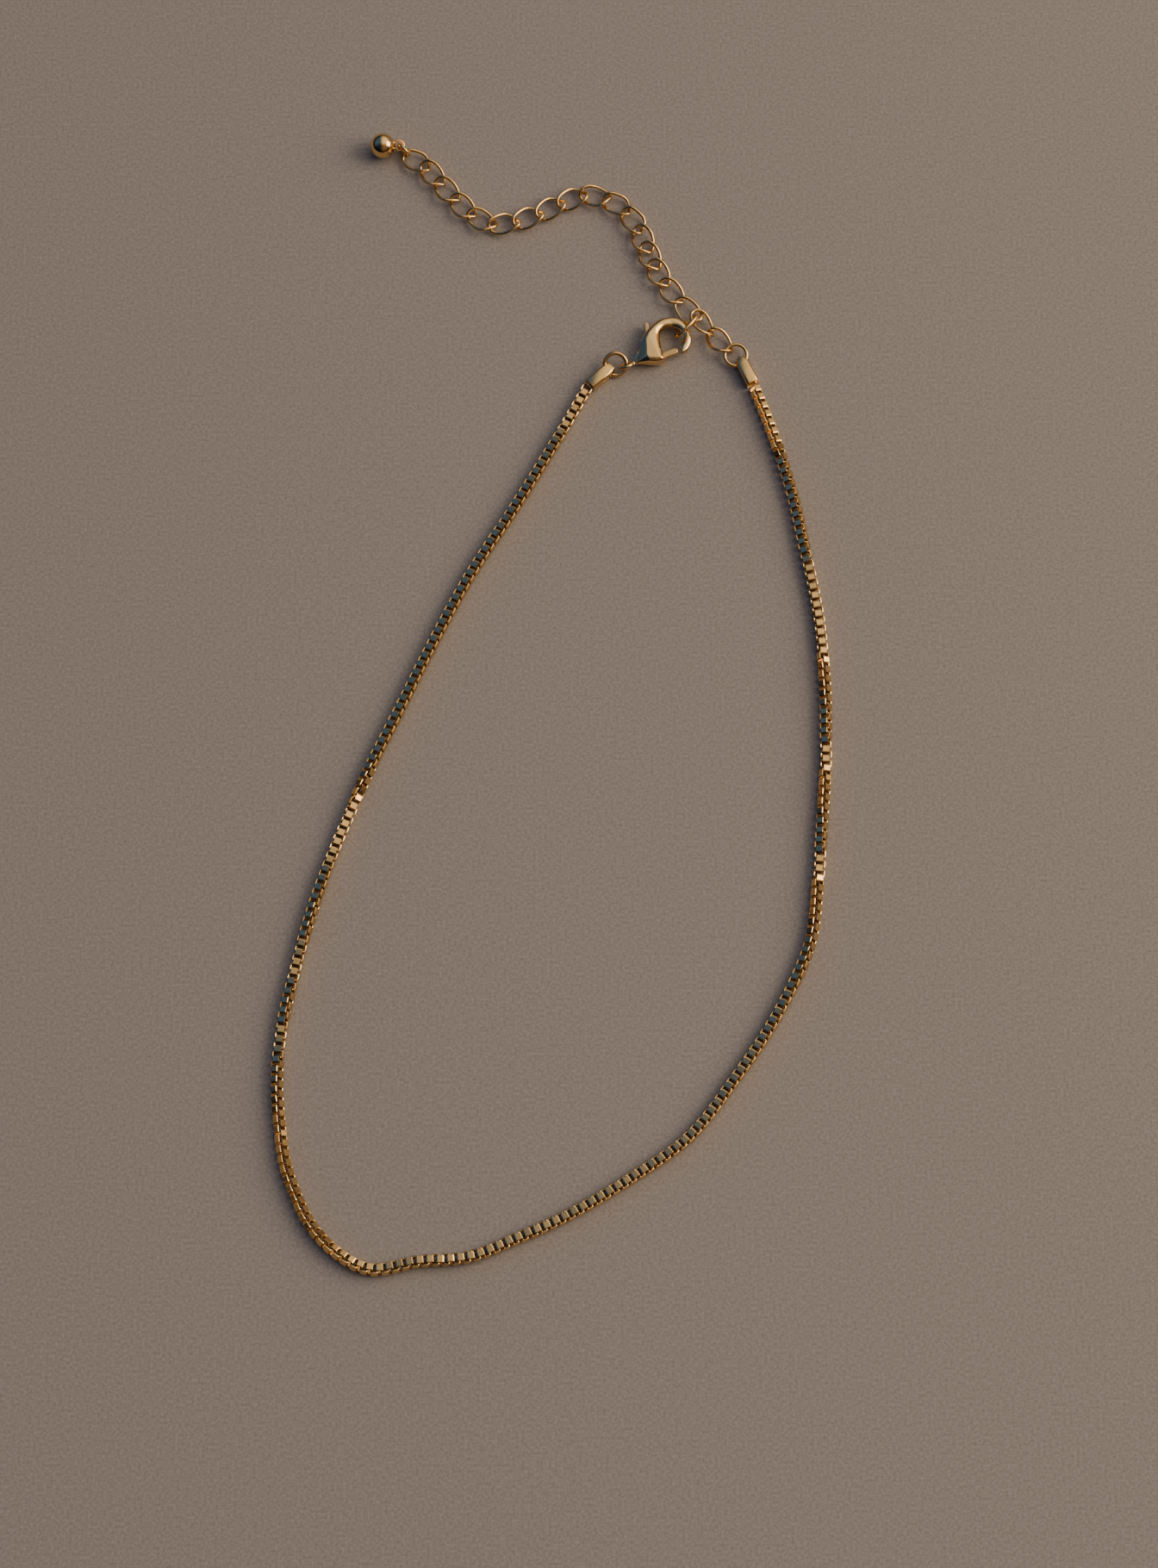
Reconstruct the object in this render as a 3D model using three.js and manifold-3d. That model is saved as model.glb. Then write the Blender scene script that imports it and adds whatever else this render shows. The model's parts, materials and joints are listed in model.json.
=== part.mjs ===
// A gold-plated brass box-chain necklace with a lobster clasp and an extender chain, lying flat.
// Millimetres, +Z up. The origin is under the middle of the necklace, on the surface it lies on.
import * as THREE from 'three';
import { mergeVertices } from 'three/addons/utils/BufferGeometryUtils.js';
import Module from 'manifold-3d';

const wasm = await Module();
wasm.setup();

// ---- Driving dimensions ----
// Box chain: square links bent from strip, 17 links to a run, 26 runs round the neck.
const LINK_HALF_WIDTH = 0.85;
const STRIP_HALF_WIDTH = 0.5;
const RUNS_PER_SIDE = 13;
const LINKS_PER_RUN = 17;
const CHAIN_HEIGHT = 1.0;
const RUN_GAP = 0.4;
const ROUTE_DIVISIONS = 2000;

// Extender chain: oval links of round wire. Each end is turned this far, so that they lie flat.
const OVAL_LENGTH = 5.5;
const OVAL_WIDTH = 3.9;
const OVAL_WIRE = 0.56;
const OVAL_TWIST = 36;
const EXTENDER_HEIGHT = 1.05;

// Jump rings: radius to the middle of the wire, the wire's radius, and where each lies and how it
// is turned.
const CLASP_RING = { radius: 1.78, wire: 0.35, at: [9.55, 53.3, 1.4], turn: [25, 0, 0] };
const EXTENDER_RING = { radius: 1.78, wire: 0.3, at: [29.05, 55.0, 1.1], turn: [8, 0, 0] };
const BALL_RING = { radius: 1.15, wire: 0.3, at: [-25.2, 91.17, 1.45], turn: [-98.4, 41.4, 129.9] };

// End caps: a square sleeve with a pierced tab at its narrow end.
const CAP_LENGTH = 3.9;
const CAP_SLEEVE_START = 1.12;
const CAP_NECK_START = 0.8;
const CAP_MOUTH_HALF = 1.05;
const CAP_TOP_HALF = 0.85;
const LEFT_CAP = { at: [8.23, 52.27, 1.05], turn: [0, 0, 220.6] };
const RIGHT_CAP = { at: [30.1, 53.5, 1.05], turn: [0, 0, 295.5] };
const CAP_POCKET_HALF = 0.9;
const CAP_POCKET_DEPTH = 0.9;
const TAB_RADIUS = 1.02;
const TAB_HALF_THICKNESS = 0.45;
const TAB_HOLE = 0.66;

// Clasp: a 12 mm lobster clasp, drawn with its eye at the origin and its hook along +X.
const CLASP_AT = [11.3, 53.1, 1.4];
const CLASP_HEADING = 24;
const CLASP_HALF_THICKNESS = 1.4;
const HOOK_HALF_THICKNESS = 0.55;
const SLOT_HALF_THICKNESS = 0.7;
const LEVER_HALF_THICKNESS = 0.45;
const PIVOT = [4.75, -0.3];
const PIVOT_HOLE = 0.55;
const LEVER_HOLE = 0.52;
const RIVET_RADIUS = 0.4;
const EYE = { radius: 1.0, wire: 0.3, turn: -55 };

// The clasp's outlines, drawn round its heel, the inside of the hook, its tip and its outside.
const HEEL = [
  [1.05, -0.4], [1.9, -0.55], [3.1, -1.1], [4.5, -1.8], [5.6, -2.05], [6.15, -1.8], [6.3, -0.3],
];
const HOOK_INSIDE = [
  [6.75, 1.7], [7.25, 2.8], [8.1, 3.3], [9.3, 3.15], [10.3, 2.3], [10.6, 1.0], [10.0, 0.1], [9.15, -0.6],
];
const HOOK_TIP = [8.95, -1.95];
const HOOK_OUTSIDE = [
  [9.9, -1.75], [11.0, -0.95], [11.65, 0.2], [11.8, 1.75], [11.4, 3.4], [10.3, 4.5], [8.5, 4.95],
  [6.5, 4.5], [4.7, 3.6], [3.5, 2.6], [2.3, 1.3], [1.05, 0.4],
];
const HOOK_THINS = [6.4, 8.6];
const LEVER_SLOT = [
  [2.6, -0.5], [3.6, -0.95], [4.6, -1.4], [5.6, -1.72], [7.4, -2.0], [7.4, 1.1], [5.75, 1.2],
  [6.5, 4.0], [6.6, 5.6], [1.5, 5.6], [2.6, 1.3],
];
const LEVER = [
  [4.75, -1.05], [5.4, -1.2], [6.1, -1.45], [8.3, -1.5], [8.6, -1.3], [8.65, -1.0], [8.45, -0.65],
  [8.1, -0.55], [6.1, -0.5], [5.5, 0.0], [5.2, 0.6], [5.0, 1.8], [5.45, 3.3], [5.95, 4.2], [6.2, 5.2],
  [5.95, 5.45], [5.55, 5.4], [5.3, 4.4], [4.85, 3.4], [4.45, 1.9], [4.3, 0.5], [4.0, -0.2], [4.2, -0.8],
];
// A bent leaf in the pocket behind the lever's boss.
const SPRING = [
  [2.75, 0.9], [2.75, -0.3], [3.0, -0.55], [3.65, -0.7], [3.7, -0.55], [3.1, -0.38], [2.92, -0.2],
  [2.92, 0.9],
];
const SPRING_HALF_WIDTH = 0.35;

// End ball.
const BALL_RADIUS = 2.05;
const BALL_EYE = { radius: 0.8, wire: 0.22, reach: 2.72 };
const END_BALL = { at: [-28.7, 91.66, BALL_RADIUS], turn: [20, 8.1, 5.8] };

// How finely round shapes are faceted, and how long a cutter is made so that it passes right through.
const WIRE_SIDES = 6;
const EYE_SIDES = 8;
const RING_SIDES = 16;
const OVAL_SIDES = 12;
const HOLE_SIDES = 12;
const BALL_RINGS = 10;
const CURVE_STEPS = 3;
const THROUGH = 4;
const SAME_POINT = 1e-5;

const GOLD = { color: 0xd9ab63, roughness: 0.18, metalness: 1.0 };
const GOLD_LEVER = { color: 0xd2a25e, roughness: 0.3, metalness: 1.0 };
const STEEL = { color: 0xb9bcc0, roughness: 0.35, metalness: 1.0 };

// The route of the box chain's centre line, from the cap beside the clasp round to the other cap.
const ROUTE = [
  [5.0, 49.4], [0.0, 40.2], [-6.6, 28.8], [-13.6, 17.4], [-20.0, 4.8], [-24.9, -5.7], [-29.1, -14.6],
  [-32.7, -23.2], [-36.2, -32.8], [-38.9, -41.9], [-40.9, -50.4], [-42.2, -57.5], [-42.6, -64.5],
  [-42.1, -70.9], [-41.1, -77.3], [-39.3, -82.3], [-36.9, -86.9], [-32.9, -91.0], [-27.8, -93.5],
  [-20.6, -92.3], [-12.9, -91.6], [-5.5, -88.7], [2.0, -85.3], [11.3, -79.8], [20.4, -73.3],
  [27.4, -64.5], [33.9, -54.7], [39.3, -43.2], [40.8, -32.9], [41.7, -22.6], [42.4, -12.2],
  [42.5, -1.7], [41.6, 10.5], [39.7, 21.7], [38.1, 30.1], [36.0, 37.8], [34.0, 43.9], [32.0, 49.4],
];

// Where each link of the extender's tail passes through the next, from the fourth link to the ball.
const TAIL = [
  [19.9, 64.6], [17.4, 67.7], [15.7, 71.1], [14.6, 73.8], [13.5, 77.1], [11.5, 80.5], [8.2, 82.8],
  [4.3, 83.4], [0.6, 81.9], [-2.9, 80.0], [-6.7, 78.5], [-10.7, 77.9], [-14.1, 79.8],
  [-16.8, 82.7], [-19.4, 85.7], [-21.7, 88.5], [-24.5, 90.3],
];

// The four links nearest the clasp. The third is plain and stands in the clasp's hook, so the links
// on either side of it are twisted less and lie flatter where they meet it.
const FIRST_LINKS = [
  { at: [26.47, 57.26, 1.31], turn: [6.1, 0, 135.7], twist: 50 },
  { at: [23.79, 60.24, 1.83], turn: [27.7, 0, 122.7], twist: 25 },
  { at: [21.02, 59.76, 1.78], turn: [67.3, -1.6, 229.0], twist: 0 },
  { at: [21.23, 62.91, 1.07], turn: [8.8, 0, -44.4], twist: 22 },
];

const degrees = THREE.MathUtils.degToRad;
const necklace = new THREE.Group();

// ---- Helpers ----
function solid(geometry) {
  const bare = geometry.index ? geometry.toNonIndexed() : geometry;
  bare.deleteAttribute('normal');
  bare.deleteAttribute('uv');
  const merged = mergeVertices(bare, SAME_POINT);
  return new wasm.Manifold(new wasm.Mesh({
    numProp: 3,
    vertProperties: new Float32Array(merged.attributes.position.array),
    triVerts: new Uint32Array(merged.index.array),
  }));
}

function geometryOf(manifold) {
  const mesh = manifold.getMesh();
  const geometry = new THREE.BufferGeometry();
  geometry.setAttribute('position', new THREE.BufferAttribute(mesh.vertProperties, 3));
  geometry.setIndex(new THREE.BufferAttribute(mesh.triVerts, 1));
  geometry.computeVertexNormals();
  return geometry;
}

function add(name, geometry, finish, at, turn = [0, 0, 0]) {
  const mesh = new THREE.Mesh(geometry, new THREE.MeshStandardMaterial(finish));
  mesh.name = name;
  mesh.position.set(...at);
  mesh.rotation.set(degrees(turn[0]), degrees(turn[1]), degrees(turn[2]), 'ZYX');
  necklace.add(mesh);
}

function reshape(geometry, move) {
  const position = geometry.attributes.position;
  const point = new THREE.Vector3();
  for (let i = 0; i < position.count; i += 1) {
    point.fromBufferAttribute(position, i);
    move(point);
    position.setXYZ(i, point.x, point.y, point.z);
  }
  return geometry;
}

function twoDigits(number) {
  return String(number).padStart(2, '0');
}

function plate(outline, halfThickness) {
  const geometry = new THREE.ExtrudeGeometry(outline, {
    depth: 2 * halfThickness,
    bevelEnabled: false,
    curveSegments: CURVE_STEPS,
  });
  return geometry.translate(0, 0, -halfThickness);
}

function points(pairs) {
  return pairs.map(([x, y]) => new THREE.Vector2(x, y));
}

function polygon(pairs) {
  return new THREE.Shape(points(pairs));
}

function peg(radius, length, at) {
  const geometry = new THREE.CylinderGeometry(radius, radius, length, HOLE_SIDES);
  return geometry.rotateX(Math.PI / 2).translate(at[0], at[1], 0);
}

// ---- Box chain ----
// A run is a straight bar bent along the route. Its section is wide, then tall, link by link,
// as the links of a box chain stand at right angles to each other.
function chainRun(route, from, to) {
  const length = route.getLength();
  const middle = (from + to) / 2;
  const barLength = to - from - RUN_GAP;
  const bar = new THREE.BoxGeometry(barLength, 2, 2, LINKS_PER_RUN, 1, 1);
  const start = route.getPointAt(from / length);
  return reshape(bar, (point) => {
    const station = Math.round((point.x / barLength + 0.5) * LINKS_PER_RUN);
    const isEnd = station === 0 || station === LINKS_PER_RUN;
    const isWide = station % 2 === 0;
    const halfWidth = isWide && !isEnd ? LINK_HALF_WIDTH : STRIP_HALF_WIDTH;
    const halfHeight = !isWide && !isEnd ? LINK_HALF_WIDTH : STRIP_HALF_WIDTH;
    const u = (middle + point.x) / length;
    const along = route.getTangentAt(u);
    const sideways = point.y * halfWidth;
    const upwards = point.z * halfHeight;
    point.copy(route.getPointAt(u)).sub(start);
    point.add(new THREE.Vector3(-along.y * sideways, along.x * sideways, upwards));
  });
}

function addBoxChain() {
  const along = ROUTE.map(([x, y]) => new THREE.Vector3(x, y, CHAIN_HEIGHT));
  const route = new THREE.CatmullRomCurve3(along, false, 'centripetal');
  route.arcLengthDivisions = ROUTE_DIVISIONS;
  const runLength = route.getLength() / (2 * RUNS_PER_SIDE);
  for (let run = 0; run < RUNS_PER_SIDE; run += 1) {
    const from = run * runLength;
    const start = route.getPointAt(from / route.getLength());
    const name = `chain_run_left_${twoDigits(run + 1)}`;
    add(name, chainRun(route, from, from + runLength), GOLD, start.toArray());
  }
  for (let run = 0; run < RUNS_PER_SIDE; run += 1) {
    const from = route.getLength() - (run + 1) * runLength;
    const start = route.getPointAt(from / route.getLength());
    const name = `chain_run_right_${twoDigits(run + 1)}`;
    add(name, chainRun(route, from, from + runLength), GOLD, start.toArray());
  }
}

// ---- Extender ----
// A ring of round wire, pulled out to an oval; a twisted one has its two ends turned apart.
function ovalLink(twist) {
  const bend = (OVAL_WIDTH - OVAL_WIRE) / 2;
  const straight = (OVAL_LENGTH - OVAL_WIDTH) / 2;
  const ring = new THREE.TorusGeometry(bend, OVAL_WIRE / 2, WIRE_SIDES, OVAL_SIDES);
  ring.rotateZ(Math.PI / OVAL_SIDES);
  return reshape(ring, (point) => {
    point.x += Math.sign(point.x) * straight;
    const turn = (-degrees(twist) * point.x) / (OVAL_LENGTH / 2);
    const { y, z } = point;
    point.y = y * Math.cos(turn) - z * Math.sin(turn);
    point.z = y * Math.sin(turn) + z * Math.cos(turn);
  });
}

function addExtender() {
  FIRST_LINKS.forEach(({ at, turn, twist }, index) => {
    add(`extender_link_${twoDigits(index + 1)}`, ovalLink(twist), GOLD, at, turn);
  });
  for (let i = 1; i < TAIL.length; i += 1) {
    const [nearX, nearY] = TAIL[i - 1];
    const [farX, farY] = TAIL[i];
    const at = [(nearX + farX) / 2, (nearY + farY) / 2, EXTENDER_HEIGHT];
    const heading = THREE.MathUtils.radToDeg(Math.atan2(nearY - farY, nearX - farX));
    const name = `extender_link_${twoDigits(FIRST_LINKS.length + i)}`;
    add(name, ovalLink(OVAL_TWIST), GOLD, at, [0, 0, heading]);
  }
}

function jumpRing({ radius, wire }) {
  return new THREE.TorusGeometry(radius, wire, WIRE_SIDES, RING_SIDES);
}

// ---- End caps ----
// Drawn with the tab's hole at the origin and the mouth along +X.
function endCap() {
  const sleeveLength = CAP_LENGTH - CAP_SLEEVE_START;
  const sleeve = new THREE.BoxGeometry(sleeveLength, 2, 2);
  reshape(sleeve, (point) => {
    const half = point.x > 0 ? CAP_MOUTH_HALF : CAP_TOP_HALF;
    point.set(point.x + CAP_SLEEVE_START + sleeveLength / 2, point.y * half, point.z * half);
  });
  const tab = new THREE.CylinderGeometry(TAB_RADIUS, TAB_RADIUS, 2 * TAB_HALF_THICKNESS, RING_SIDES);
  const neckLength = 2 * (CAP_SLEEVE_START - CAP_NECK_START);
  const neck = new THREE.BoxGeometry(neckLength, 2 * TAB_HALF_THICKNESS, 2 * CAP_TOP_HALF);
  neck.translate(CAP_SLEEVE_START, 0, 0);
  const hole = new THREE.CylinderGeometry(TAB_HOLE, TAB_HOLE, THROUGH, HOLE_SIDES);
  const pocket = new THREE.BoxGeometry(2 * CAP_POCKET_DEPTH, 2 * CAP_POCKET_HALF, 2 * CAP_POCKET_HALF);
  pocket.translate(CAP_LENGTH, 0, 0);
  const whole = solid(sleeve).add(solid(tab)).add(solid(neck));
  return geometryOf(whole.subtract(solid(hole)).subtract(solid(pocket)));
}

// ---- Clasp ----
function claspOutline() {
  const outline = new THREE.Shape();
  outline.moveTo(...HEEL[0]);
  HEEL.slice(1).forEach(([x, y]) => outline.lineTo(x, y));
  outline.splineThru(points(HOOK_INSIDE));
  outline.lineTo(...HOOK_TIP);
  outline.splineThru(points(HOOK_OUTSIDE));
  return outline;
}

// The hook is thinner than the body: its thickness falls off between these two stations.
function hookThinning(x) {
  const along = THREE.MathUtils.smoothstep(x, ...HOOK_THINS);
  return THREE.MathUtils.lerp(1, HOOK_HALF_THICKNESS / CLASP_HALF_THICKNESS, along);
}

function claspBody() {
  const casting = plate(claspOutline(), CLASP_HALF_THICKNESS);
  reshape(casting, (point) => {
    point.z *= hookThinning(point.x);
  });
  const eye = new THREE.TorusGeometry(EYE.radius, EYE.wire, EYE_SIDES, RING_SIDES).rotateX(degrees(EYE.turn));
  const slot = plate(polygon(LEVER_SLOT), SLOT_HALF_THICKNESS);
  const bore = peg(PIVOT_HOLE, THROUGH, PIVOT);
  return geometryOf(solid(casting).subtract(solid(slot)).subtract(solid(bore)).add(solid(eye)));
}

// A bell crank: one arm closes the hook, the other carries the thumb tab.
function claspLever() {
  const bar = plate(polygon(LEVER), LEVER_HALF_THICKNESS);
  const bore = peg(LEVER_HOLE, THROUGH, PIVOT);
  return geometryOf(solid(bar).subtract(solid(bore)));
}

function claspPoint([x, y]) {
  const heading = degrees(CLASP_HEADING);
  return [
    CLASP_AT[0] + x * Math.cos(heading) - y * Math.sin(heading),
    CLASP_AT[1] + x * Math.sin(heading) + y * Math.cos(heading),
    CLASP_AT[2],
  ];
}

function addClasp() {
  const turn = [0, 0, CLASP_HEADING];
  const fromPivot = ([x, y]) => [x - PIVOT[0], y - PIVOT[1]];
  const pivotAt = claspPoint(PIVOT);
  const back = fromPivot([0, 0]);
  add('clasp_body', claspBody(), GOLD, CLASP_AT, turn);
  add('clasp_lever', claspLever().translate(back[0], back[1], 0), GOLD_LEVER, pivotAt, turn);
  add('clasp_spring', plate(polygon(SPRING), SPRING_HALF_WIDTH), STEEL, CLASP_AT, turn);
  add('clasp_rivet', peg(RIVET_RADIUS, 2 * CLASP_HALF_THICKNESS, [0, 0]), STEEL, pivotAt, turn);
}

// ---- Ball ----
// The ball's soldered eye points along +X before the ball is turned.
function endBall() {
  const ball = new THREE.SphereGeometry(BALL_RADIUS, RING_SIDES, BALL_RINGS);
  const eye = new THREE.TorusGeometry(BALL_EYE.radius, BALL_EYE.wire, WIRE_SIDES, OVAL_SIDES);
  eye.translate(BALL_EYE.reach, 0, 0);
  return geometryOf(solid(ball).add(solid(eye)));
}

// ---- Assembly ----
addClasp();
add('clasp_ring', jumpRing(CLASP_RING), GOLD, CLASP_RING.at, CLASP_RING.turn);
add('end_cap_left', endCap(), GOLD, LEFT_CAP.at, LEFT_CAP.turn);
add('end_cap_right', endCap(), GOLD, RIGHT_CAP.at, RIGHT_CAP.turn);
add('extender_ring', jumpRing(EXTENDER_RING), GOLD, EXTENDER_RING.at, EXTENDER_RING.turn);
addBoxChain();
addExtender();
add('ball_ring', jumpRing(BALL_RING), GOLD, BALL_RING.at, BALL_RING.turn);
add('end_ball', endBall(), GOLD, END_BALL.at, END_BALL.turn);

export default necklace;
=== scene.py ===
"""A gold-plated box-chain necklace with a lobster clasp and an oval-link extender chain."""
import json
import math
import random

import bpy
import numpy as np
from mathutils import Matrix, Vector


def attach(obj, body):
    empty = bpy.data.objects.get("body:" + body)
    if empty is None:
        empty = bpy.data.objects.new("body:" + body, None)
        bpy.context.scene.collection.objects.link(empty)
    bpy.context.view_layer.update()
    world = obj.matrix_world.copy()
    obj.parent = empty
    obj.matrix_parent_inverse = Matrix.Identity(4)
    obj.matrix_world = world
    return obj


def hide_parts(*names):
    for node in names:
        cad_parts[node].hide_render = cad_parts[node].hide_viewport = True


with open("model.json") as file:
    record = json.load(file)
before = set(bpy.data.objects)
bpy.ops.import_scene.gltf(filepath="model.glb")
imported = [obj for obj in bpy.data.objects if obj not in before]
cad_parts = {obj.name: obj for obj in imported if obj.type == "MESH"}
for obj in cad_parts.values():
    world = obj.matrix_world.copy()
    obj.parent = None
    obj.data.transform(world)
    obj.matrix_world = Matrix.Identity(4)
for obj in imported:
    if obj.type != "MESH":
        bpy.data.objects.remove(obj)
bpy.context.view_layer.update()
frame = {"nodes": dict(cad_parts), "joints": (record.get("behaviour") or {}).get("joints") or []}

MM = 0.001

# Box chain: square links of bent strip, each standing a quarter turn from the next.
BOX_LINKS = 442
LINKS_PER_RUN = 17
RUNS_PER_SIDE = 13
SECTION_CORNERS = 4
LINK_LENGTH = 1.25 * MM
LINK_WIDTH = 1.74 * MM
STRIP_WIDTH = 1.08 * MM
STRIP_THICKNESS = 0.21 * MM
LINK_CORNER = 0.24 * MM
STRIP_CROWN = 0.05 * MM

# How far the box chain is rolled about its own line, in degrees, at distances in millimetres
# from the cap beside the clasp. Every 90 degrees it shows the same face again.
CHAIN_ROLL = [
    (0, 0), (7, 0), (12, 13), (70, 17), (74, 30), (77, 46), (80, 74), (84, 86), (89, 93), (95, 112),
    (101, 114), (103, 93), (108, 90), (111, 114), (114, 114), (116, 93), (119.5, 92), (122, 116),
    (126, 124), (130, 135), (148, 136), (152, 142), (160, 160), (172, 172), (240, 166), (243, 155),
    (249, 150), (251, 137), (258, 132), (260, 94), (263, 88), (264.5, 66), (268.5, 60), (270.5, 46),
    (275.5, 42), (278, 4), (280.5, 0), (282.5, -26), (287, -30), (289, -44), (294.5, -48), (297, -86),
    (311, -92), (314, -116), (329, -120), (331.5, -146), (334, -151), (343, -153),
]

# How far, in degrees, each link may sit off the chain's own roll and heading.
ROLL_PLAY = 2.5
HEADING_PLAY = 2
PLAY_SEED = 3

# Extender: oval links of round wire, with their two ends turned apart so that they lie flat.
OVAL_LENGTH = 5.5 * MM
OVAL_WIDTH = 3.9 * MM
OVAL_WIRE = 0.56 * MM
OVAL_SIDE_HANDLE = 0.68
OVAL_TWISTS = {1: 50, 2: 25, 3: 0, 4: 22}
USUAL_TWIST = 36
OVAL_LINKS = 20

# Jump rings: radius to the middle of the wire, the wire's radius, and where the cut is.
JUMP_RINGS = {
    "clasp_ring": (1.78 * MM, 0.35 * MM, 100),
    "extender_ring": (1.78 * MM, 0.30 * MM, 200),
    "ball_ring": (1.15 * MM, 0.30 * MM, 250),
}
RING_CUT_DEGREES = 1.5

# End caps, folded from sheet: the ring's holes are at the origin and the mouth is along +X.
CAP_TOP = -0.98 * MM
CAP_MOUTH = 3.8 * MM
CAP_MOUTH_WIDTH = 2.08 * MM
CAP_SHOULDER = 0.2 * MM
CAP_TOP_TAPER = 0.72
CAP_EDGE = 0.45 * MM
CAP_WALL = 0.16 * MM
CAP_SEAM = 0.14 * MM
CAP_EDGE_ROUNDING = 0.05 * MM
CAP_HOLE = 0.62 * MM
CAP_HOLE_AT = Vector((-0.12, 0, 0)) * MM

# Clasp, drawn with its eye at the origin and its hook along +X.
PIVOT = Vector((4.75, -0.3, 0)) * MM
PIVOT_HOLE = 0.5 * MM
CLASP_THICKNESS = 2.8 * MM
SLOT_WIDTH = 1.3 * MM
HOOK_THICKNESS = 1.35 * MM
RIVET_LENGTH = 1.9 * MM
RIVET_RADIUS = 0.4 * MM
RIVET_CROWN_INSET = 0.12 * MM
SPRING_WIDTH = 0.7 * MM
SPRING_EDGE_ROUNDING = 0.03 * MM
EYE_RADIUS = 1.0 * MM
EYE_WIRE = 0.3 * MM
EYE_TURN = -55
LEVER_THICKNESS = 0.9 * MM
CASTING_VOXEL = 0.07 * MM
COARSE_VOXEL = 1.5 * CASTING_VOXEL

# The casting's rounded rim: its width in millimetres, and the share of thickness left at the edge.
CASTING_ROUND = 0.95
CASTING_RIM = 0.3

# Where the casting thins towards its hook and its eye, in millimetres along X, and by how much.
HOOK_THINS_FROM = 5.2
HOOK_THINS_OVER = 4.4
HOOK_THINS_CURVE = 1.2
HOOK_SHARE = HOOK_THICKNESS / CLASP_THICKNESS
EYE_THINS_FROM = 3.6
EYE_THINS_OVER = 2.6
EYE_LOSS = 0.62

# The flat facet ground on each side of the casting, beside the lever.
FACET_AT = (3.9 * MM, 0.75 * MM, 1.30 * MM)
FACET_NORMAL = (-0.46, 0.19, 0.86)

BALL_RADIUS = 2.05 * MM
BALL_COLLAR_ANGLE = 12
BALL_COLLAR_HEIGHT = 0.12 * MM
BALL_EYE_RADIUS = 0.8 * MM
BALL_EYE_WIRE = 0.22 * MM
BALL_EYE_AT = 2.72 * MM
BALL_EYE_MARGIN = 0.25 * MM

# A cutter this long passes right through any piece here.
THROUGH = 4 * MM

# Hairline scratches: their length along a piece, how much narrower they are, and their depth.
HAIRLINE_LENGTH = 0.9 * MM
HAIRLINE_STRETCH = 9.0
HAIRLINE_DEPTH = 0.05 * MM

FLOOR_SIZE = 6
CARD_TOOTH = 0.45 * MM
CARD_TOOTH_DEPTH = 0.1 * MM

KEY_AT = (0.9, 0.15, 0.55)
KEY_SIZE = 0.75
KEY_POWER = 8
ROOM_STRENGTH = 1.3

VIEW_TARGET = Vector((3.65, -16.95, 0)) * MM
VIEW_DISTANCE = 581 * MM
VIEW_ELEVATION = 74


# ---- Tools ----
def linear(hex_colour):
    """A linear colour with alpha from an sRGB hex value."""
    channels = [int(hex_colour[i:i + 2], 16) / 255 for i in (0, 2, 4)]
    curved = [c / 12.92 if c <= 0.04045 else ((c + 0.055) / 1.055) ** 2.4 for c in channels]
    return (*curved, 1.0)


def start(add, name, **settings):
    """Adds a primitive with nothing else selected, names it and applies its place."""
    bpy.ops.object.select_all(action="DESELECT")
    add(**settings)
    piece = bpy.context.object
    piece.name = name
    piece.data.name = name
    if piece.type == "MESH":
        bpy.ops.object.transform_apply(location=True, rotation=True, scale=True)
    return piece


def select_only(*pieces):
    bpy.ops.object.select_all(action="DESELECT")
    for piece in pieces:
        piece.select_set(True)
    bpy.context.view_layer.objects.active = pieces[0]


def choose(piece, kind, test):
    """Goes into edit mode with just those vertices, edges or faces selected that pass the test."""
    mesh = piece.data
    parts = {"VERT": mesh.vertices, "EDGE": mesh.edges, "FACE": mesh.polygons}
    for group in parts.values():
        group.foreach_set("select", [False] * len(group))
    for part in parts[kind]:
        part.select = bool(test(part))
    bpy.context.tool_settings.mesh_select_mode = [kind == k for k in ("VERT", "EDGE", "FACE")]
    bpy.ops.object.mode_set(mode="EDIT")


def choose_all(piece):
    """Goes into edit mode with every face of the piece selected."""
    select_only(piece)
    choose(piece, "FACE", lambda f: True)


def leave():
    bpy.ops.object.mode_set(mode="OBJECT")


def ends(piece, edge):
    return [piece.data.vertices[i].co for i in edge.vertices]


def clean(piece, distance=0.002 * MM):
    """Merges doubles and turns every face outwards."""
    select_only(piece)
    choose(piece, "VERT", lambda v: True)
    bpy.ops.mesh.select_all(action="SELECT")
    bpy.ops.mesh.remove_doubles(threshold=distance)
    bpy.ops.mesh.normals_make_consistent(inside=False)
    leave()


def modify(piece, kind, **settings):
    """Adds a modifier with its settings and applies it."""
    select_only(piece)
    modifier = piece.modifiers.new(kind.lower(), kind)
    for key, value in settings.items():
        setattr(modifier, key, value)
    bpy.ops.object.modifier_apply(modifier=modifier.name)


def smooth(piece, degrees):
    select_only(piece)
    bpy.ops.object.shade_smooth_by_angle(angle=math.radians(degrees))


def join(name, pieces):
    select_only(*pieces)
    bpy.ops.object.join()
    joined = bpy.context.object
    joined.name = name
    joined.data.name = name
    return joined


def copy_to(model, place, name):
    """A copy with its own mesh, put in its place."""
    copy = model.copy()
    copy.data = model.data.copy()
    copy.data.transform(place)
    copy.name = name
    copy.data.name = name
    bpy.context.collection.objects.link(copy)
    return copy


def discard(*pieces):
    for piece in pieces:
        bpy.data.objects.remove(piece, do_unlink=True)


def cut(piece, cutter):
    modify(piece, "BOOLEAN", operation="DIFFERENCE", object=cutter, solver="EXACT")
    discard(cutter)


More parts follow.
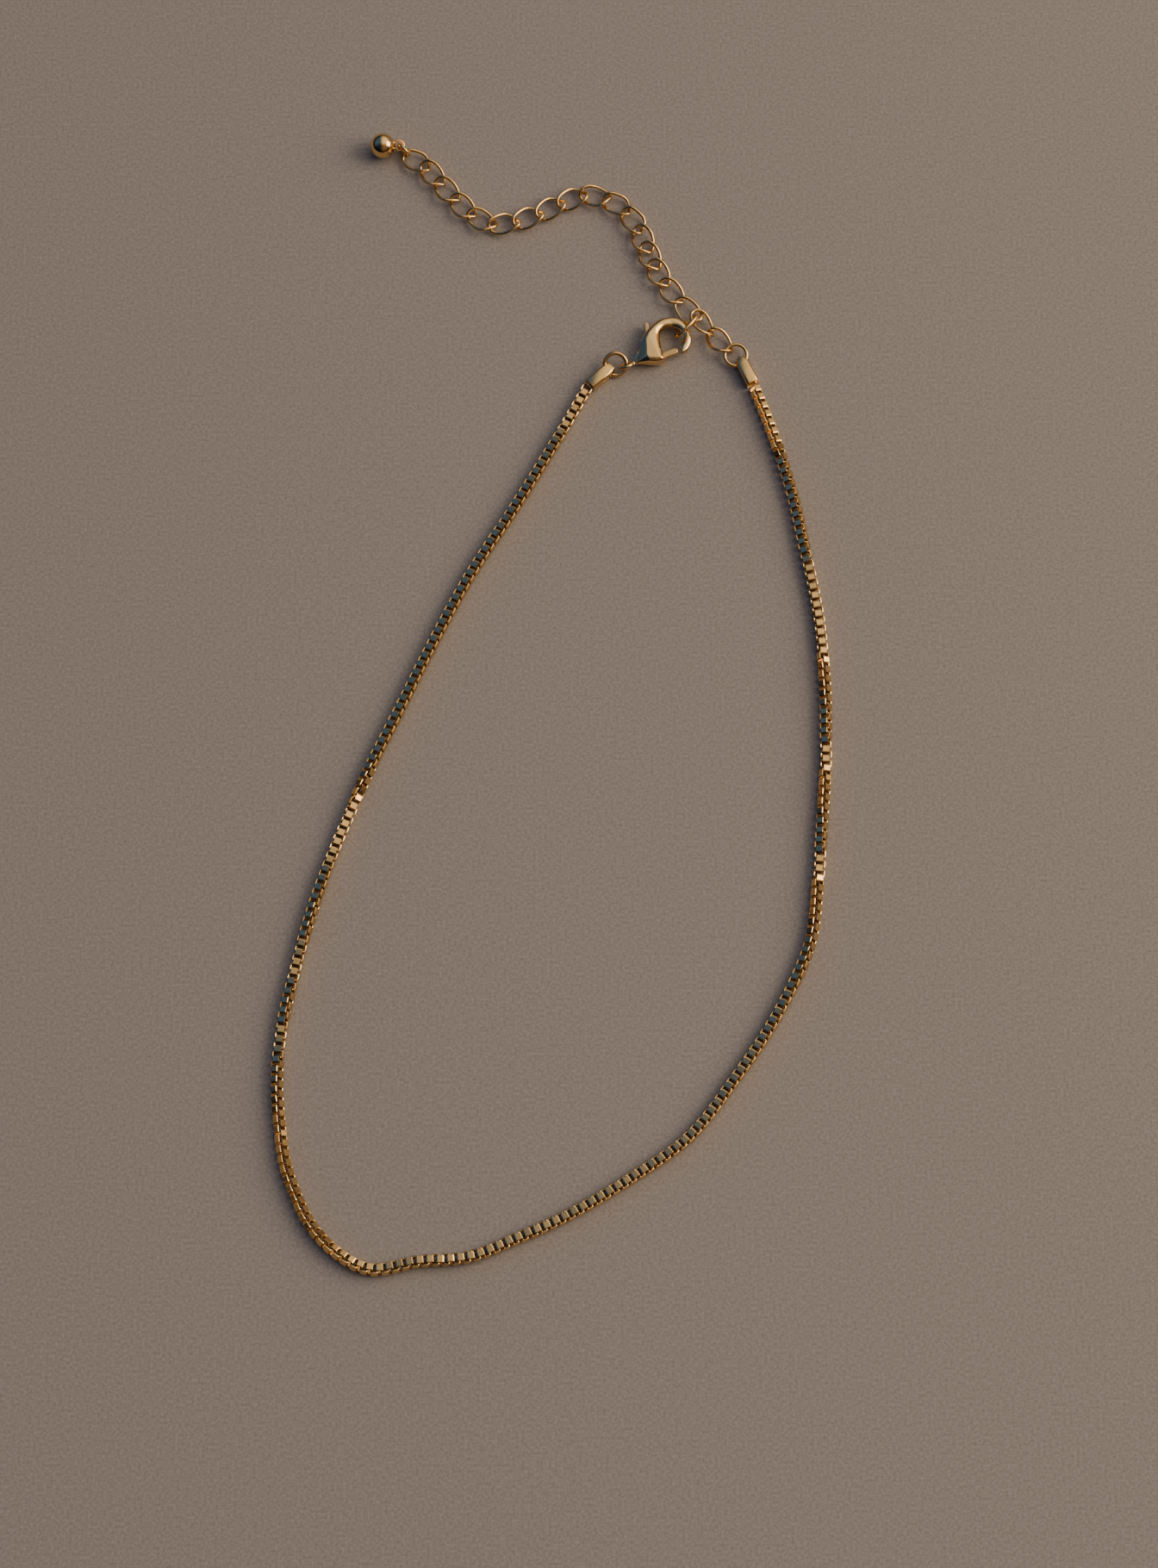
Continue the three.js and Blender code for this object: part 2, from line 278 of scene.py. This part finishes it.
def outline_plate(name, points, thickness):
    """A flat plate: a filled circle whose rim is moved to the outline, extruded and centred."""
    plate = start(bpy.ops.mesh.primitive_circle_add, name, vertices=len(points), radius=1 * MM,
                  fill_type="NGON")
    for vertex, (x, y) in zip(plate.data.vertices, points):
        vertex.co = (x * MM, y * MM, -thickness / 2)
    choose_all(plate)
    bpy.ops.mesh.extrude_region_move(TRANSFORM_OT_translate={"value": (0, 0, thickness)})
    leave()
    clean(plate)
    return plate


def within(value):
    """A value kept between 0 and 1."""
    return min(max(value, 0), 1)


def edge_distance(point, outline):
    """How far a point lies from the nearest side of an outline, in plan."""
    closest = math.inf
    for a, b in zip(outline, [*outline[1:], outline[0]]):
        side, offset = Vector(b) - Vector(a), point - Vector(a)
        along = within(offset.dot(side) / max(side.length_squared, 1e-9))
        closest = min(closest, (offset - side * along).length)
    return closest


def curved(points, steps=5):
    """Points along a smooth curve through the given ones."""
    rows = []
    padded = [points[0], *points, points[-1]]
    for a, b, c, d in zip(padded, padded[1:], padded[2:], padded[3:]):
        for step in range(steps):
            t = step / steps
            rows.append(tuple(
                0.5 * (2 * q + (r - p) * t + (2 * p - 5 * q + 4 * r - s) * t * t
                       + (3 * q - p - 3 * r + s) * t ** 3)
                for p, q, r, s in zip(a, b, c, d)))
    return [*rows, points[-1]]


# ---- Places, from the frame ----
def hinge(name):
    return Vector(next(j["pos_m"] for j in frame["joints"] if j["name"] == name))


def corners(node):
    """The separate vertices of a CAD node."""
    found = {tuple(round(c, 6) for c in v.co) for v in frame["nodes"][node].data.vertices}
    return np.array(sorted(found))


def own_axes(points):
    """A place whose X, Y and Z lie along the longest, middle and shortest spread of the points."""
    low, high = points.min(0), points.max(0)
    middle = (low + high) / 2
    spread = np.linalg.svd(points - points.mean(0), full_matrices=False)[2]
    x, y = Vector(spread[0]), Vector(spread[1])
    z = x.cross(y).normalized()
    place = Matrix((x, y, z)).transposed().to_4x4()
    place.translation = Vector(middle)
    return place


def level_place(at, towards, turn=0):
    """A place at a point, with X pointing level towards another point."""
    heading = math.atan2(towards.y - at.y, towards.x - at.x) + turn
    return Matrix.Translation(at) @ Matrix.Rotation(heading, 4, "Z")


def run_names():
    numbers = [f"{n:02d}" for n in range(1, RUNS_PER_SIDE + 1)]
    return [f"left_{n}" for n in numbers] + [f"right_{n}" for n in reversed(numbers)]


def chain_line():
    """The box chain's middle line, from the middles of the sections of the CAD runs."""
    line = []
    for run in run_names():
        points = corners(f"chain_run_{run}")
        along = np.linalg.svd(points - points.mean(0), full_matrices=False)[2][0]
        order = points[np.argsort(points @ along)]
        middles = [Vector(order[i:i + SECTION_CORNERS].mean(0))
                   for i in range(0, len(order), SECTION_CORNERS)]
        before = line[-1] if line else hinge("left_01_lift")
        if (middles[-1] - before).length < (middles[0] - before).length:
            middles.reverse()
        line += middles
    line[0] = hinge("left_01_lift")
    line[-1] = hinge("right_01_lift")
    return line


def resampled(line, count):
    """Middles of equal steps along a line, each with its distance and direction."""
    lengths = [0.0]
    for a, b in zip(line, line[1:]):
        lengths.append(lengths[-1] + (b - a).length)
    step = lengths[-1] / count
    xs, ys = [p.x for p in line], [p.y for p in line]

    def at(distance):
        return Vector((np.interp(distance, lengths, xs), np.interp(distance, lengths, ys), 0))
    rows = []
    for i in range(count):
        distance = (i + 0.5) * step
        direction = (at(distance + step) - at(distance - step)).normalized()
        rows.append((distance, at(distance), direction))
    return rows


# ---- Materials ----
def add_node(tree, kind, links=(), **settings):
    """Adds a node, sets its properties and unlinked sockets, and links its inputs."""
    made = tree.nodes.new(kind)
    for key, value in settings.items():
        if key in made.inputs:
            made.inputs[key].default_value = value
        elif hasattr(made, key):
            setattr(made, key, value)
        else:
            made.inputs[key.replace("_", " ")].default_value = value
    for socket, source in links:
        tree.links.new(source, made.inputs[socket])
    return made


def set_stops(ramp, first, *between, last):
    """Gives a colour ramp its positions and colours."""
    for element, (position, colour) in zip(ramp.elements, (first, last)):
        element.position = position
        element.color = linear(colour)
    for position, colour in between:
        ramp.elements.new(position).color = linear(colour)


def metal(name, colour, tint, roughness, polish_mm, scratch=0.006):
    """A plated metal whose polish and tone wander a little, with fine hairline scratches."""
    material = bpy.data.materials.new(name)
    material.use_nodes = True
    tree = material.node_tree
    shader = tree.nodes["Principled BSDF"]
    shader.inputs["Metallic"].default_value = 1.0
    place = add_node(tree, "ShaderNodeTexCoord").outputs["Object"]
    cloud = add_node(tree, "ShaderNodeTexNoise", [("Vector", place)],
                     Scale=1 / (polish_mm * MM), Detail=3.0)
    hairs = add_node(tree, "ShaderNodeMapping", [("Vector", place)],
                     Scale=(1.0, HAIRLINE_STRETCH, HAIRLINE_STRETCH))
    lines = add_node(tree, "ShaderNodeTexNoise", [("Vector", hairs.outputs["Vector"])],
                     Scale=1 / HAIRLINE_LENGTH, Detail=4.0, Roughness=0.6)
    tone = add_node(tree, "ShaderNodeValToRGB", [("Fac", cloud.outputs["Fac"])])
    set_stops(tone.color_ramp, (0.3, tint), last=(0.7, colour))
    polish = add_node(tree, "ShaderNodeMapRange", [("Value", lines.outputs["Fac"])], From_Min=0.35,
                      From_Max=0.7, To_Min=roughness * 0.8, To_Max=roughness * 1.35)
    bump = add_node(tree, "ShaderNodeBump", [("Height", lines.outputs["Fac"])], Strength=scratch,
                    Distance=HAIRLINE_DEPTH)
    tree.links.new(tone.outputs["Color"], shader.inputs["Base Color"])
    tree.links.new(polish.outputs["Result"], shader.inputs["Roughness"])
    tree.links.new(bump.outputs["Normal"], shader.inputs["Normal"])
    return material


def finish_piece(piece, material, body, nodes, angle):
    """Gives a piece its material, its smooth shading and its CAD body and node."""
    smooth(piece, angle)
    piece.data.materials.clear()
    piece.data.materials.append(material)
    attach(piece, body)
    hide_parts(*nodes)
    return piece


# Gold-plated brass, barrel-polished strip: a deep yellow mirror, a little soft in its gloss.
strip_gold = metal("barrel_polished_gold_plate", "F0CA88", "E6BE7C", 0.16, 1.2)
# Gold-plated drawn wire: the same plate over round wire, with a slightly warmer tone.
wire_gold = metal("gold_plated_drawn_wire", "EFC884", "E4BA78", 0.17, 1.5)
# Gold-plated casting, hand polished: long soft highlights with a few fine hairlines.
cast_gold = metal("polished_gold_plated_casting", "F1CC8E", "E8C282", 0.13, 2.5)
# Gold-plated stamping: the lever is left a little duller than the casting.
lever_gold = metal("satin_gold_plated_stamping", "E2BC82", "D6AE74", 0.30, 0.8, 0.03)
# Gold-plated folded sheet of the end caps.
sheet_gold = metal("gold_plated_folded_sheet", "F0CA88", "E6BE7C", 0.15, 1.5)
# Gold-plated ball, turned and polished to a mirror.
ball_gold = metal("mirror_polished_gold_ball", "F1CC8C", "EAC484", 0.07, 3.0, 0.002)
# Tempered spring steel, plain and grey.
spring_steel = metal("tempered_spring_steel", "B9BCC0", "A7ABB0", 0.33, 0.8, 0.02)


# ---- Box chain ----
def model_box_link():
    """One link: a block with round corners, hollowed from both sides, its rims left rounded."""
    link = start(bpy.ops.mesh.primitive_cube_add, "box_link", size=1)
    straight = STRIP_WIDTH - 2 * STRIP_CROWN
    choose(link, "VERT", lambda v: True)
    bpy.ops.transform.resize(value=(LINK_LENGTH, LINK_WIDTH, straight))
    leave()
    choose(link, "EDGE", lambda e: abs(ends(link, e)[0].z - ends(link, e)[1].z) > straight / 2)
    bpy.ops.mesh.bevel(offset=LINK_CORNER, segments=2, affect="EDGES")
    leave()
    choose(link, "FACE", lambda f: abs(f.normal.z) > 0.9)
    bpy.ops.mesh.inset(thickness=STRIP_THICKNESS / 2, depth=STRIP_CROWN)
    bpy.ops.mesh.inset(thickness=STRIP_THICKNESS / 2, depth=-STRIP_CROWN)
    bpy.ops.mesh.bridge_edge_loops()
    leave()
    clean(link, 0.0005 * MM)
    return link


def chain_height(roll):
    """How high the chain's middle line lies when its square section is rolled."""
    flat = LINK_WIDTH / 2 - LINK_CORNER
    return flat * (abs(math.cos(roll)) + abs(math.sin(roll))) + LINK_CORNER


def make_box_chain():
    link = model_box_link()
    play = random.Random(PLAY_SEED)
    stations = resampled(chain_line(), BOX_LINKS)
    for r, run in enumerate(run_names()):
        node = f"chain_run_{run}"
        copies = []
        for i in range(r * LINKS_PER_RUN, (r + 1) * LINKS_PER_RUN):
            distance, at, along = stations[i]
            wanted = np.interp(distance / MM, *zip(*CHAIN_ROLL))
            roll = math.radians(wanted + play.uniform(-ROLL_PLAY, ROLL_PLAY))
            at.z = chain_height(roll)
            turned = math.radians(play.uniform(-HEADING_PLAY, HEADING_PLAY))
            heading = math.atan2(along.y, along.x) + turned
            place = (Matrix.Translation(at) @ Matrix.Rotation(heading, 4, "Z")
                     @ Matrix.Rotation(roll + math.pi / 2 * (i % 2), 4, "X"))
            copies.append(copy_to(link, place, f"link_{i}"))
        piece = join(f"box_links_{run}", copies)
        finish_piece(piece, strip_gold, node, [node], 20)
    discard(link)


# ---- Extender ----
def model_oval_link(name, twist):
    """A ring of round wire drawn out to an oval, then twisted along its length."""
    link = start(bpy.ops.curve.primitive_bezier_circle_add, name, radius=1)
    half = Vector(((OVAL_LENGTH - OVAL_WIRE) / 2, (OVAL_WIDTH - OVAL_WIRE) / 2, 1))
    for point in link.data.splines[0].bezier_points:
        point.handle_left_type = "FREE"
        point.handle_right_type = "FREE"
        at_side = abs(point.co.y) > 0.5
        for handle in ("handle_left", "handle_right"):
            offset = getattr(point, handle) - point.co
            if at_side:
                offset = offset.normalized() * OVAL_SIDE_HANDLE
            setattr(point, handle, (point.co + offset) * half)
        point.co = point.co * half
    link.data.resolution_u = 14
    link.data.bevel_depth = OVAL_WIRE / 2
    link.data.bevel_resolution = 5
    select_only(link)
    bpy.ops.object.convert(target="MESH")
    link = bpy.context.object
    clean(link)
    if twist:
        modify(link, "SIMPLE_DEFORM", deform_method="TWIST", deform_axis="X",
               angle=math.radians(-2 * twist))
    return link


def make_extender():
    for number in range(1, OVAL_LINKS + 1):
        node = f"extender_link_{number:02d}"
        link = model_oval_link(f"oval_link_{number:02d}", OVAL_TWISTS.get(number, USUAL_TWIST))
        link.data.transform(own_axes(corners(node)))
        finish_piece(link, wire_gold, node, [node], 80)


def make_jump_rings():
    for node, (radius, wire, cut_at) in JUMP_RINGS.items():
        turn = math.radians(RING_CUT_DEGREES)
        ring = start(bpy.ops.mesh.primitive_circle_add, node.replace("ring", "jump_ring"), vertices=20,
                     radius=wire, fill_type="NGON", location=(radius, 0, 0), rotation=(math.pi / 2, 0, 0))
        choose_all(ring)
        bpy.ops.mesh.spin(steps=72, angle=2 * math.pi - turn, center=(0, 0, 0), axis=(0, 0, 1))
        leave()
        clean(ring)
        ring.data.transform(own_axes(corners(node)) @ Matrix.Rotation(math.radians(cut_at), 4, "Z"))
        finish_piece(ring, wire_gold, node, [node], 50)


# ---- End caps ----
def model_end_cap():
    """A sleeve folded from sheet, with an open seam, its top drawn in and pierced for the ring."""
    length = CAP_MOUTH - CAP_TOP
    sleeve = start(bpy.ops.mesh.primitive_cube_add, "end_cap", size=1)
    choose(sleeve, "VERT", lambda v: True)
    bpy.ops.transform.resize(value=(length, CAP_MOUTH_WIDTH, CAP_MOUTH_WIDTH))
    bpy.ops.transform.translate(value=(CAP_TOP + length / 2, 0, 0))
    leave()
    choose_all(sleeve)
    bpy.ops.mesh.bisect(plane_co=(CAP_SHOULDER, 0, 0), plane_no=(1, 0, 0))
    leave()
    choose(sleeve, "VERT", lambda v: v.co.x < CAP_TOP + 0.01 * MM)
    bpy.ops.transform.resize(value=(1, CAP_TOP_TAPER, CAP_TOP_TAPER))
    leave()
    choose(sleeve, "EDGE", lambda e: abs(ends(sleeve, e)[0].x - ends(sleeve, e)[1].x) > 0.5 * MM)
    bpy.ops.mesh.bevel(offset=CAP_EDGE, segments=4, affect="EDGES")
    leave()
    choose(sleeve, "FACE", lambda f: f.normal.x > 0.9)
    bpy.ops.mesh.delete(type="FACE")
    leave()
    for side in (-1, 1):
        choose(sleeve, "FACE", lambda f: f.normal.y > 0.5)
        bpy.ops.mesh.bisect(plane_co=(0, 0, side * CAP_SEAM / 2), plane_no=(0, 0, 1))
        leave()
    choose(sleeve, "FACE", lambda f: f.normal.y > 0.9 and abs(f.center.z) < CAP_SEAM / 2
           and f.center.x > CAP_SHOULDER)
    bpy.ops.mesh.delete(type="FACE")
    leave()
    clean(sleeve)
    modify(sleeve, "SOLIDIFY", thickness=CAP_WALL, offset=-1)
    cut(sleeve, start(bpy.ops.mesh.primitive_cylinder_add, "ring_hole", vertices=40, radius=CAP_HOLE,
                      depth=THROUGH, location=CAP_HOLE_AT, rotation=(math.pi / 2, 0, 0)))
    clean(sleeve)
    modify(sleeve, "BEVEL", width=CAP_EDGE_ROUNDING, segments=2, limit_method="ANGLE",
           angle_limit=math.radians(40))
    return sleeve


def make_end_caps():
    cap = model_end_cap()
    for side in ("left", "right"):
        hole = hinge(f"{side}_cap_lift")
        place = level_place(hole, hinge(f"{side}_01_lift"))
        node = f"end_cap_{side}"
        piece = copy_to(cap, place, f"{side}_end_cap_sleeve")
        finish_piece(piece, sheet_gold, node, [node], 30)
    discard(cap)


# ---- Clasp ----
# Outlines of the clasp's pieces, in millimetres.
HOOK_INSIDE = [(6.3, -0.3), (6.75, 1.7), (7.25, 2.8), (8.1, 3.3), (9.3, 3.15), (10.3, 2.3), (10.6, 1.0),
               (10.0, 0.1), (9.15, -0.6)]
HOOK_OUTSIDE = [(8.95, -1.95), (9.9, -1.75), (11.0, -0.95), (11.65, 0.2), (11.8, 1.75), (11.4, 3.4),
                (10.3, 4.5), (8.5, 4.95), (6.5, 4.5), (4.7, 3.6), (3.5, 2.6), (2.3, 1.3), (1.05, 0.4)]
HEEL = [(1.05, -0.4), (1.9, -0.55), (3.1, -1.1), (4.5, -1.8), (5.6, -2.05), (6.15, -1.8)]
LEVER_SLOT = [(2.6, -0.5), (3.6, -0.95), (4.6, -1.4), (5.6, -1.72), (7.4, -2.2), (7.4, 1.1), (5.75, 1.2),
              (6.5, 4.0), (6.6, 5.6), (1.5, 5.6), (2.6, 1.3)]
LEVER = [(4.75, -1.05), (5.4, -1.2), (6.1, -1.45), (8.3, -1.5), (8.6, -1.3), (8.65, -1.0), (8.45, -0.65),
         (8.1, -0.55), (6.1, -0.5), (5.5, 0.0), (5.2, 0.6), (5.0, 1.8), (5.45, 3.3), (5.95, 4.2),
         (6.2, 5.2), (5.95, 5.45), (5.55, 5.4), (5.3, 4.4), (4.85, 3.4), (4.45, 1.9), (4.3, 0.5),
         (4.0, -0.2), (4.2, -0.8)]
SPRING = [(2.75, 0.9), (2.75, -0.3), (3.0, -0.55), (3.65, -0.7), (3.7, -0.55), (3.1, -0.38), (2.92, -0.2),
          (2.92, 0.9)]


def clasp_place():
    eye, pivot = hinge("clasp_ring_turn"), hinge("lever_turn")
    return level_place(eye, pivot, -math.atan2(PIVOT.y, PIVOT.x))


def drill(name, radius, depth, at):
    """An upright round bar, for a bore or a pin."""
    return start(bpy.ops.mesh.primitive_cylinder_add, name, vertices=40, radius=radius, depth=depth,
                 location=at)


def kept_thickness(point, outline):
    """The share of its thickness that the casting keeps at a point, in plan."""
    inwards = within(edge_distance(point, outline) / CASTING_ROUND)
    dome = CASTING_RIM + (1 - CASTING_RIM) * math.sqrt(1 - (1 - inwards) ** 2)
    towards_hook = within((point.x - HOOK_THINS_FROM) / HOOK_THINS_OVER)
    towards_eye = within((EYE_THINS_FROM - point.x) / EYE_THINS_OVER)
    hook_loss = (1 - HOOK_SHARE) * towards_hook ** HOOK_THINS_CURVE
    return dome * (1 - hook_loss - EYE_LOSS * towards_eye)


def model_casting():
    """The hook and body are one casting: an outlined plate, domed, thinned and faceted."""
    outline = [*HEEL, *curved(HOOK_INSIDE), *curved(HOOK_OUTSIDE)]
    casting = outline_plate("casting", outline, CLASP_THICKNESS)
    modify(casting, "REMESH", mode="VOXEL", voxel_size=COARSE_VOXEL)
    for vertex in casting.data.vertices:
        point = Vector((vertex.co.x, vertex.co.y)) / MM
        vertex.co.z *= kept_thickness(point, outline)
    (x, y, z), (across, along, up) = FACET_AT, FACET_NORMAL
    for side in (-1, 1):
        choose_all(casting)
        bpy.ops.mesh.bisect(plane_co=(x, y, side * z), plane_no=(across, along, side * up),
                            clear_outer=True, use_fill=True)
        leave()
    clean(casting)
    return casting


def make_clasp():
    place = clasp_place()
    casting = model_casting()
    slot = outline_plate("slot", LEVER_SLOT, SLOT_WIDTH)
    cut(casting, slot)
    eye = start(bpy.ops.mesh.primitive_torus_add, "eye", major_radius=EYE_RADIUS, minor_radius=EYE_WIRE,
                major_segments=64, minor_segments=20, rotation=(math.radians(EYE_TURN), 0, 0))
    body = join("clasp_casting", [casting, eye])
    modify(body, "REMESH", mode="VOXEL", voxel_size=CASTING_VOXEL)
    modify(body, "SMOOTH", factor=0.5, iterations=10)
    body.data.transform(place)
    finish_piece(body, cast_gold, "clasp_body", ["clasp_body"], 180)

    lever = outline_plate("lever_arm", LEVER, LEVER_THICKNESS)
    cut(lever, drill("lever_bore", PIVOT_HOLE, THROUGH, PIVOT))
    modify(lever, "REMESH", mode="VOXEL", voxel_size=CASTING_VOXEL)
    modify(lever, "SMOOTH", factor=0.5, iterations=5)
    lever.data.transform(place)
    finish_piece(lever, lever_gold, "clasp_lever", ["clasp_lever"], 180)

    spring = outline_plate("leaf_spring", SPRING, SPRING_WIDTH)
    modify(spring, "BEVEL", width=SPRING_EDGE_ROUNDING, segments=2, limit_method="ANGLE",
           angle_limit=math.radians(50))
    spring.data.transform(place)
    finish_piece(spring, spring_steel, "clasp_body", ["clasp_spring"], 40)

    rivet = drill("rivet_pin", RIVET_RADIUS, RIVET_LENGTH, PIVOT)
    choose(rivet, "FACE", lambda f: abs(f.normal.z) > 0.9)
    bpy.ops.mesh.inset(thickness=RIVET_CROWN_INSET, depth=0)
    bpy.ops.transform.resize(value=(1, 1, 1.03))
    leave()
    rivet.data.transform(place)
    finish_piece(rivet, spring_steel, "clasp_body", ["clasp_rivet"], 40)


# ---- Ball ----
def make_ball():
    points = corners("end_ball")
    low = points.min(0)
    middle = Vector((low[0] + BALL_RADIUS, (low[1] + points.max(0)[1]) / 2, BALL_RADIUS))
    distances = np.linalg.norm(points - np.array(middle), axis=1)
    eye_points = points[distances > BALL_RADIUS + BALL_EYE_MARGIN]
    eye_place = own_axes(eye_points)
    out = (Vector(eye_points.mean(0)) - middle).normalized()
    ball = start(bpy.ops.mesh.primitive_uv_sphere_add, "polished_ball", segments=64, ring_count=40,
                 radius=BALL_RADIUS)
    collar = BALL_RADIUS * math.cos(math.radians(BALL_COLLAR_ANGLE))
    choose(ball, "FACE", lambda f: f.center.z > collar)
    bpy.ops.mesh.extrude_region_move(TRANSFORM_OT_translate={"value": (0, 0, BALL_COLLAR_HEIGHT)})
    bpy.ops.transform.resize(value=(0.8, 0.8, 0.2))
    leave()
    turn = Vector((0, 0, 1)).rotation_difference(out).to_matrix().to_4x4()
    ball.data.transform(Matrix.Translation(middle) @ turn)
    eye = start(bpy.ops.mesh.primitive_torus_add, "ball_eye", major_radius=BALL_EYE_RADIUS,
                minor_radius=BALL_EYE_WIRE, major_segments=64, minor_segments=20)
    eye_place.translation = middle + out * BALL_EYE_AT
    eye.data.transform(eye_place)
    piece = join("ball_and_eye", [ball, eye])
    finish_piece(piece, ball_gold, "end_ball", ["end_ball"], 60)


# ---- Stage ----
def make_floor():
    """Pale matt card under the necklace, with a fine tooth that only just shows."""
    floor = start(bpy.ops.mesh.primitive_plane_add, "floor", size=FLOOR_SIZE)
    card = bpy.data.materials.new("matt_card")
    card.use_nodes = True
    tree = card.node_tree
    shader = tree.nodes["Principled BSDF"]
    shader.inputs["Roughness"].default_value = 0.85
    shader.inputs["Specular IOR Level"].default_value = 0.2
    place = add_node(tree, "ShaderNodeTexCoord").outputs["Object"]
    tooth = add_node(tree, "ShaderNodeTexNoise", [("Vector", place)], Scale=1 / CARD_TOOTH, Detail=3.0)
    tone = add_node(tree, "ShaderNodeValToRGB", [("Fac", tooth.outputs["Fac"])])
    set_stops(tone.color_ramp, (0.3, "928B85"), last=(0.7, "AAA39D"))
    tree.links.new(tone.outputs["Color"], shader.inputs["Base Color"])
    bump = add_node(tree, "ShaderNodeBump", [("Height", tooth.outputs["Fac"])], Strength=0.25,
                    Distance=CARD_TOOTH_DEPTH)
    tree.links.new(bump.outputs["Normal"], shader.inputs["Normal"])
    floor.data.materials.append(card)


def add_softbox(name, at, size, power, colour):
    """A square light that faces the necklace."""
    bpy.ops.object.select_all(action="DESELECT")
    bpy.ops.object.light_add(type="AREA", location=at)
    lamp = bpy.context.object
    lamp.name = name
    lamp.data.size = size
    lamp.data.energy = power
    lamp.data.color = linear(colour)[:3]
    aim = VIEW_TARGET - Vector(at)
    lamp.rotation_mode = "QUATERNION"
    lamp.rotation_quaternion = aim.to_track_quat("-Z", "Y")


def make_light():
    """A low warm softbox on the right and a cool dim room on the left."""
    world = bpy.data.worlds.new("studio")
    bpy.context.scene.world = world
    world.use_nodes = True
    tree = world.node_tree
    direction = add_node(tree, "ShaderNodeTexCoord").outputs["Generated"]
    parts = add_node(tree, "ShaderNodeSeparateXYZ", [("Vector", direction)])
    across = add_node(tree, "ShaderNodeMapRange", [("Value", parts.outputs["X"])], From_Min=-1.0)
    tone = add_node(tree, "ShaderNodeValToRGB", [("Fac", across.outputs["Result"])])
    set_stops(tone.color_ramp, (0.0, "4A6496"), (0.30, "35568F"), (0.41, "5F6B82"), (0.5, "C8BEB2"),
              (0.64, "F0E2D0"), last=(1.0, "FFF0DC"))
    height = add_node(tree, "ShaderNodeValToRGB", [("Fac", parts.outputs["Z"])])
    set_stops(height.color_ramp, (0.1, "5A4B40"), last=(0.62, "FFFFFF"))
    depth = add_node(tree, "ShaderNodeMapRange", [("Value", parts.outputs["Y"])], From_Min=-1.0)
    back = add_node(tree, "ShaderNodeValToRGB", [("Fac", depth.outputs["Result"])])
    set_stops(back.color_ramp, (0.3, "7A7068"), last=(0.56, "FFFFFF"))
    shade = add_node(tree, "ShaderNodeVectorMath", operation="MULTIPLY")
    tree.links.new(height.outputs["Color"], shade.inputs[0])
    tree.links.new(back.outputs["Color"], shade.inputs[1])
    lit = add_node(tree, "ShaderNodeVectorMath", operation="MULTIPLY")
    tree.links.new(tone.outputs["Color"], lit.inputs[0])
    tree.links.new(shade.outputs["Vector"], lit.inputs[1])
    background = tree.nodes["Background"]
    tree.links.new(lit.outputs["Vector"], background.inputs["Color"])
    background.inputs["Strength"].default_value = ROOM_STRENGTH
    add_softbox("warm_key", KEY_AT, KEY_SIZE, KEY_POWER, "FFE6C8")


def make_camera():
    bpy.ops.object.select_all(action="DESELECT")
    elevation = math.radians(VIEW_ELEVATION)
    back = Vector((0, -math.cos(elevation), math.sin(elevation)))
    bpy.ops.object.camera_add(location=VIEW_TARGET + back * VIEW_DISTANCE)
    camera = bpy.context.object
    camera.rotation_mode = "QUATERNION"
    camera.rotation_quaternion = (-back).to_track_quat("-Z", "Y")
    camera.data.lens = 85
    camera.data.sensor_width = 36
    camera.data.clip_start = 0.01
    bpy.context.scene.camera = camera


make_camera()
make_floor()
make_light()
make_box_chain()
make_extender()
make_jump_rings()
make_end_caps()
make_clasp()
make_ball()
